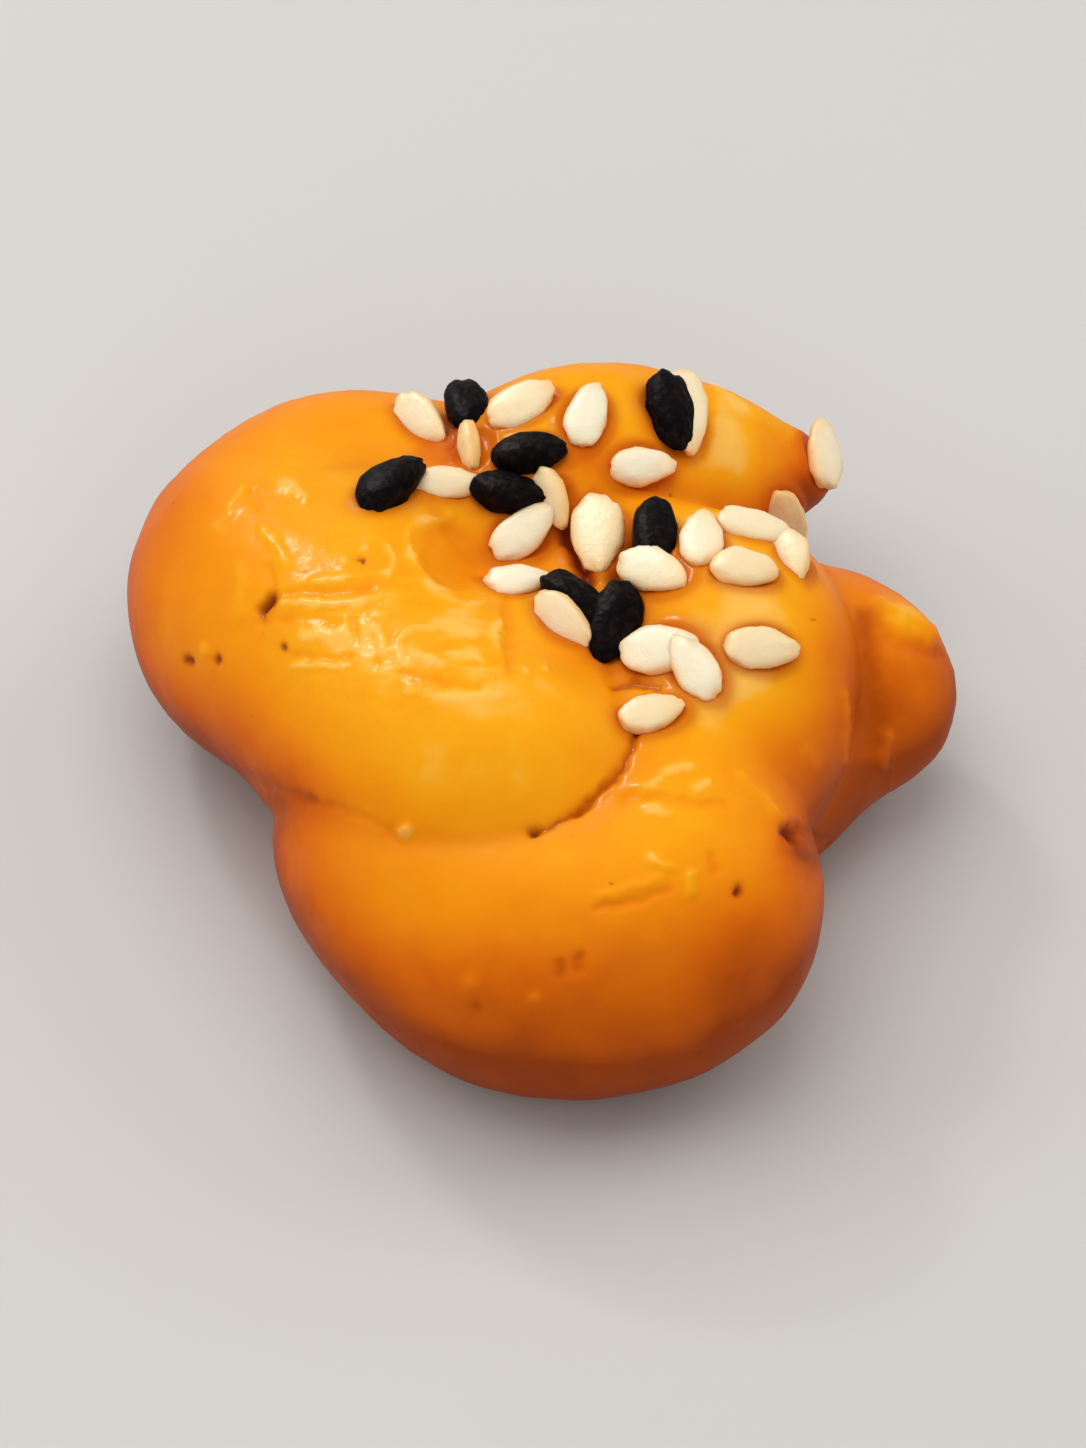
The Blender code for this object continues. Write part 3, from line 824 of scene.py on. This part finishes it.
class Nodes:
    """A material's node tree, built with short calls."""

    def __init__(self, name):
        self.material = bpy.data.materials.new(name)
        self.material.use_nodes = True
        self.tree = self.material.node_tree
        self.shader = self.tree.nodes["Principled BSDF"]

    def put(self, socket, value):
        if isinstance(value, bpy.types.NodeSocket):
            self.tree.links.new(value, socket)
        else:
            socket.default_value = value

    def add(self, kind, inputs=None, **settings):
        node = self.tree.nodes.new("ShaderNode" + kind)
        for key, value in settings.items():
            setattr(node, key, value)
        for key, value in (inputs or {}).items():
            self.put(node.inputs[key], value)
        return node

    def value(self, name):
        """A value that the mesh holds at each point."""
        return self.add("Attribute", attribute_name=name).outputs["Fac"]

    def math(self, operation, a, b):
        return self.add("Math", {0: a, 1: b}, operation=operation).outputs[0]

    def clamp(self, value):
        return self.add("Clamp", {"Value": value}).outputs[0]

    def step(self, value, low, high):
        """Rises smoothly from 0 to 1 as the value goes from low to high."""
        inputs = {"Value": value, "From Min": low, "From Max": high}
        return self.add("MapRange", inputs, interpolation_type="SMOOTHSTEP").outputs[0]

    def place(self):
        return self.add("TexCoord").outputs["Object"]

    def noise(self, size, detail, rough):
        """Cloudy noise, with patches of the given size in mm."""
        inputs = {"Vector": self.place(), "Scale": 1 / (size * MM), "Detail": detail, "Roughness": rough}
        return self.add("TexNoise", inputs).outputs[0]

    def cells(self, size):
        inputs = {"Vector": self.place(), "Scale": 1 / (size * MM)}
        return self.add("TexVoronoi", inputs).outputs["Distance"]

    def mix(self, share, first, second):
        node = self.add("Mix", data_type="RGBA")
        self.put(node.inputs["Factor"], share)
        for socket, color in ((node.inputs[6], first), (node.inputs[7], second)):
            self.put(socket, color if isinstance(color, bpy.types.NodeSocket) else (*color, 1))
        return node.outputs[2]

    def ramp(self, value, stops):
        node = self.add("ValToRGB", {"Fac": value})
        band = node.color_ramp
        while len(band.elements) < len(stops):
            band.elements.new(0.5)
        for element, (place, color) in zip(band.elements, stops):
            element.position = place
            element.color = (*color, 1)
        return node.outputs["Color"]

    def bump(self, height, depth, under=None):
        """Relief of the given depth in mm."""
        node = self.add("Bump", {"Height": height, "Distance": depth * MM, "Strength": 1.0})
        if under:
            self.put(node.inputs["Normal"], under)
        return node.outputs["Normal"]

    def constants(self, values):
        """Sets the shader's own sockets to values that are the same all over the surface."""
        for name, value in values.items():
            self.shader.inputs[name].default_value = value


# Colours as they leave the shader, from the pale top of the glaze to the brown of the base. The palest is
# reached where a highlight is painted, and the darker ones also carry the painted shade of the low and
# turned-away sides.
GLAZE_STOPS = [
    (0.00, (0.98, 0.53, 0.09)),
    (0.08, (0.965, 0.405, 0.008)),
    (0.18, (0.95, 0.345, 0.005)),
    (0.32, (0.92, 0.29, 0.004)),
    (0.49, (0.84, 0.215, 0.004)),
    (0.68, (0.74, 0.145, 0.003)),
    (0.87, (0.54, 0.090, 0.003)),
    (1.00, (0.34, 0.050, 0.003)),
]
BASE_COLOR = (0.46, 0.20, 0.05)
MOTTLE_SWING = 0.18
SPECK_LEVELS = (0.78, 0.84)

# Stains and painted shade laid over the glaze, one over the other: how far at the most, and its colour. The
# red in the creases, round the seeds and in the pits is painted shade, partly redder glaze; the seed's print
# and the specks are the glaze's own.
STAINS_AND_SHADE = {
    "crease": (0.65, (0.60, 0.11, 0.003)),
    "print": (0.60, (0.85, 0.26, 0.005)),
    "touch": (0.75, (0.57, 0.10, 0.004)),
    "speck": (0.50, (0.22, 0.06, 0.01)),
    "pit": (0.90, (0.19, 0.012, 0.002)),
}

# The materials' patterns: the size of their patches in mm, the detail in them and its strength.
MOTTLE = {"size": 3.0, "detail": 4.0, "rough": 0.6}
SPECKS = {"size": 0.9, "detail": 1.0, "rough": 0.5}
BASE_PATCHES = {"size": 2.5, "detail": 5.0, "rough": 0.7}
GLOSS_PATCHES = {"size": 1.4, "detail": 3.0, "rough": 0.6}
SKIN_GRAIN = {"size": 0.8, "detail": 4.0, "rough": 0.5}
WRINKLE_GRAIN = {"size": 0.5, "detail": 2.0, "rough": 0.5}
CRUST_GRAIN = {"size": 0.35, "detail": 4.0, "rough": 0.6}
SESAME_CLOUD = {"size": 0.9, "detail": 3.0, "rough": 0.6}
SESAME_GRAIN = {"size": 0.35, "detail": 4.0, "rough": 0.6}
NIGELLA_PATCHES = {"size": 0.5, "detail": 3.0, "rough": 0.6}
NIGELLA_GRAIN = {"size": 0.3, "detail": 3.0, "rough": 0.6}
NIGELLA_CELLS = 0.4

# The depth of each grain, in mm.
SKIN_GRAIN_DEPTH = 0.03
WRINKLE_GRAIN_DEPTH = 0.05
CRUST_GRAIN_DEPTH = 0.25
SESAME_GRAIN_DEPTH = 0.05
NIGELLA_CELL_DEPTH = 0.05
NIGELLA_GRAIN_DEPTH = 0.04

# How rough the glaze is at least, how much more it gets in patches, and how much more at the base.
GLAZE_ROUGH = 0.32
GLAZE_ROUGH_SWING = 0.24
BASE_ROUGHER = 0.4

# The values that each shader has all over.
DOUGH_SHADER = {
    "Specular IOR Level": 0.04,
    "Specular Tint": (1.0, 0.75, 0.35, 1),
    "Subsurface Weight": 0.06,
    "Subsurface Radius": (1.0, 0.35, 0.08),
    "Subsurface Scale": 0.9 * MM,
    "Coat Weight": 0.06,
    "Coat Roughness": 0.20,
}
SESAME_SHADER = {
    "Roughness": 0.42,
    "Specular IOR Level": 0.35,
    "Subsurface Weight": 0.25,
    "Subsurface Radius": (1.0, 0.7, 0.4),
    "Subsurface Scale": 0.5 * MM,
}
NIGELLA_SHADER = {
    "Roughness": 0.5,
    "Specular IOR Level": 0.05,
}


def dough_material():
    nodes = Nodes("glazed_dough")
    mottle = nodes.math("SUBTRACT", nodes.noise(**MOTTLE), 0.5)
    # The glaze's colour by how toasted and shaded it is: the ramp carries real browning as well as painted
    # light and shade.
    toast_and_painted_light = nodes.math("ADD", nodes.value("toast_and_painted_light"), nodes.math("MULTIPLY", mottle, MOTTLE_SWING))
    color = nodes.ramp(nodes.clamp(toast_and_painted_light), GLAZE_STOPS)
    # Then the stains, and the painted shade of creases, seeds and pits, over it.
    shares = {name: nodes.value(name) for name in STAINS_AND_SHADE if name != "speck"}
    shares["speck"] = nodes.step(nodes.noise(**SPECKS), *SPECK_LEVELS)
    for name, (most, stain_and_shade) in STAINS_AND_SHADE.items():
        color = nodes.mix(nodes.math("MULTIPLY", shares[name], most), color, stain_and_shade)
    toasted_base = nodes.mix(nodes.noise(**BASE_PATCHES), BASE_COLOR, GLAZE_STOPS[-1][1])
    color = nodes.mix(nodes.value("base"), color, toasted_base)
    nodes.put(nodes.shader.inputs["Base Color"], color)

    rough = nodes.math("MULTIPLY", nodes.noise(**GLOSS_PATCHES), GLAZE_ROUGH_SWING)
    rough = nodes.math("ADD", rough, GLAZE_ROUGH)
    rough = nodes.math("ADD", rough, nodes.math("MULTIPLY", nodes.value("base"), BASE_ROUGHER))
    nodes.put(nodes.shader.inputs["Roughness"], nodes.clamp(rough))
    nodes.constants(DOUGH_SHADER)

    skin = nodes.bump(nodes.noise(**SKIN_GRAIN), SKIN_GRAIN_DEPTH)
    wrinkles = nodes.math("MULTIPLY", nodes.noise(**WRINKLE_GRAIN), nodes.value("wrinkle"))
    skin = nodes.bump(wrinkles, WRINKLE_GRAIN_DEPTH, skin)
    crust = nodes.math("MULTIPLY", nodes.noise(**CRUST_GRAIN), nodes.value("base"))
    skin = nodes.bump(crust, CRUST_GRAIN_DEPTH, skin)
    nodes.put(nodes.shader.inputs["Normal"], skin)
    nodes.put(nodes.shader.inputs["Coat Normal"], skin)
    return nodes.material


SESAME_PALE = (0.95, 0.88, 0.68)
SESAME_TOASTED = (0.93, 0.62, 0.24)
SESAME_GLAZED = (0.92, 0.50, 0.13)
SESAME_EDGE = (0.95, 0.50)  # the glaze creeps up a seed's side between these heights, from the top down
SESAME_POINT = (0.45, 1.0)  # and along it between these places, towards the point
POINT_GLAZED = 0.7
EDGE_GLAZED = 0.75
CLOUD_LEVELS = (0.5, 0.8)
CLOUD_SHARE = 0.35
NIGELLA_BLACK = (0.003, 0.002, 0.003)
NIGELLA_BROWN = (0.014, 0.008, 0.006)
BROWN_LEVELS = (0.45, 0.75)


def sesame_material():
    nodes = Nodes("sesame")
    color = nodes.mix(nodes.value("tint"), SESAME_PALE, SESAME_TOASTED)
    side = nodes.step(nodes.value("rise"), *SESAME_EDGE)
    point = nodes.math("MULTIPLY", nodes.step(nodes.value("ahead"), *SESAME_POINT), POINT_GLAZED)
    glazed = nodes.math("MULTIPLY", nodes.math("MAXIMUM", side, point), EDGE_GLAZED)
    color = nodes.mix(glazed, color, SESAME_GLAZED)
    cloud = nodes.math("MULTIPLY", nodes.step(nodes.noise(**SESAME_CLOUD), *CLOUD_LEVELS), CLOUD_SHARE)
    color = nodes.mix(cloud, color, SESAME_TOASTED)
    nodes.put(nodes.shader.inputs["Base Color"], color)
    nodes.constants(SESAME_SHADER)
    nodes.put(nodes.shader.inputs["Normal"], nodes.bump(nodes.noise(**SESAME_GRAIN), SESAME_GRAIN_DEPTH))
    return nodes.material


def nigella_material():
    nodes = Nodes("nigella")
    browned = nodes.step(nodes.noise(**NIGELLA_PATCHES), *BROWN_LEVELS)
    color = nodes.mix(browned, NIGELLA_BLACK, NIGELLA_BROWN)
    nodes.put(nodes.shader.inputs["Base Color"], color)
    nodes.constants(NIGELLA_SHADER)
    wrinkled = nodes.bump(nodes.cells(NIGELLA_CELLS), NIGELLA_CELL_DEPTH)
    wrinkled = nodes.bump(nodes.noise(**NIGELLA_GRAIN), NIGELLA_GRAIN_DEPTH, wrinkled)
    nodes.put(nodes.shader.inputs["Normal"], wrinkled)
    return nodes.material


def build_biscuit():
    mesh = skin_mesh()
    places = shape_dough(mesh)
    dough = finished_object("glazed_dough", mesh, "biscuit")
    dough.data.materials.clear()
    dough.data.materials.append(dough_material())
    for name, material in (("sesame", sesame_material()), ("nigella", nigella_material())):
        seeds = finished_object(f"{name}_seeds", seeds_mesh(name, places))
        seeds.data.materials.append(material)


FLOOR_SIDE = 3.0
FLOOR_COLOR = (0.58, 0.575, 0.57)
FLOOR_ROUGH = 0.6


def build_floor():
    nodes = Nodes("floor")
    nodes.constants({"Base Color": (*FLOOR_COLOR, 1), "Roughness": FLOOR_ROUGH})
    bm = bmesh.new()
    bmesh.ops.create_grid(bm, x_segments=1, y_segments=1, size=FLOOR_SIDE / 2)
    mesh = bpy.data.meshes.new("floor")
    bm.to_mesh(mesh)
    bm.free()
    mesh.materials.append(nodes.material)
    floor = bpy.data.objects.new("floor", mesh)
    bpy.context.scene.collection.objects.link(floor)


LAMP_COLOR = (1.0, 0.97, 0.93)
SKY_COLOR = (1.0, 0.98, 0.95)
SKY_STRENGTH = 0.44
# Round lamps: where each stands, how wide it is in metres, its power in watts and its colour. One of them
# puts the glints on the glaze and nothing more, and the others only light it.
LIGHTS = {
    "key": {"at": (-0.10, 0.14, 0.53), "wide": 0.70, "power": 1.80, "color": LAMP_COLOR, "glints": False},
    "glint": {"at": (-0.26, 0.42, 0.40), "wide": 0.11, "power": 4.60, "color": SKY_COLOR, "glints": True},
    "front": {"at": (0.10, -0.50, 0.30), "wide": 0.50, "power": 0.50, "color": LAMP_COLOR, "glints": False},
    "left": {"at": (-0.50, 0.05, 0.22), "wide": 0.40, "power": 0.58, "color": LAMP_COLOR, "glints": False},
    "right": {"at": (0.42, 0.24, 0.32), "wide": 0.40, "power": 0.75, "color": LAMP_COLOR, "glints": False},
}
LAMPS_AIM_AT = (0, 0, 0.006)


def aim(obj, at, target):
    obj.location = at
    obj.rotation_euler = (Vector(target) - Vector(at)).to_track_quat("-Z", "Y").to_euler()


def build_lights():
    for name, values in LIGHTS.items():
        light = bpy.data.lights.new(name, "AREA")
        light.shape = "DISK"
        light.size = values["wide"]
        light.energy = values["power"]
        light.color = values["color"]
        obj = bpy.data.objects.new(name, light)
        obj.visible_glossy = values["glints"]
        obj.visible_diffuse = not values["glints"]
        bpy.context.scene.collection.objects.link(obj)
        aim(obj, values["at"], LAMPS_AIM_AT)
    world = bpy.data.worlds.new("sky")
    world.use_nodes = True
    background = world.node_tree.nodes["Background"]
    background.inputs["Color"].default_value = (*SKY_COLOR, 1)
    background.inputs["Strength"].default_value = SKY_STRENGTH
    bpy.context.scene.world = world
    bpy.context.scene.view_settings.view_transform = "Standard"


CAMERA_AWAY = 1.50
CLIP_START = 0.01
FRAME_WIDTH = 0.0505  # metres seen across the frame at the biscuit
AIM_AT = (0.0, 0.0, 0.0073)
SENSOR = 36.0


def build_camera():
    _, _, depth = seen_axes()
    camera = bpy.data.cameras.new("camera")
    camera.sensor_fit = "HORIZONTAL"
    camera.sensor_width = SENSOR
    camera.lens = SENSOR * CAMERA_AWAY / FRAME_WIDTH
    camera.clip_start = CLIP_START
    obj = bpy.data.objects.new("camera", camera)
    bpy.context.scene.collection.objects.link(obj)
    aim(obj, Vector(AIM_AT) - depth * CAMERA_AWAY, AIM_AT)
    bpy.context.scene.camera = obj


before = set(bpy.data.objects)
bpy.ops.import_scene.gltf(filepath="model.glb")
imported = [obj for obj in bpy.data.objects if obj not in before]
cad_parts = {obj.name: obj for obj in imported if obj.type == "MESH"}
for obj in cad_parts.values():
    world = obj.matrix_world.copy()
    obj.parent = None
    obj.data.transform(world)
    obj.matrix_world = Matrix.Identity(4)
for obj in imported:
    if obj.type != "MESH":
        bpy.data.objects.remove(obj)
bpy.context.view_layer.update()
build_biscuit()
build_floor()
build_lights()
build_camera()
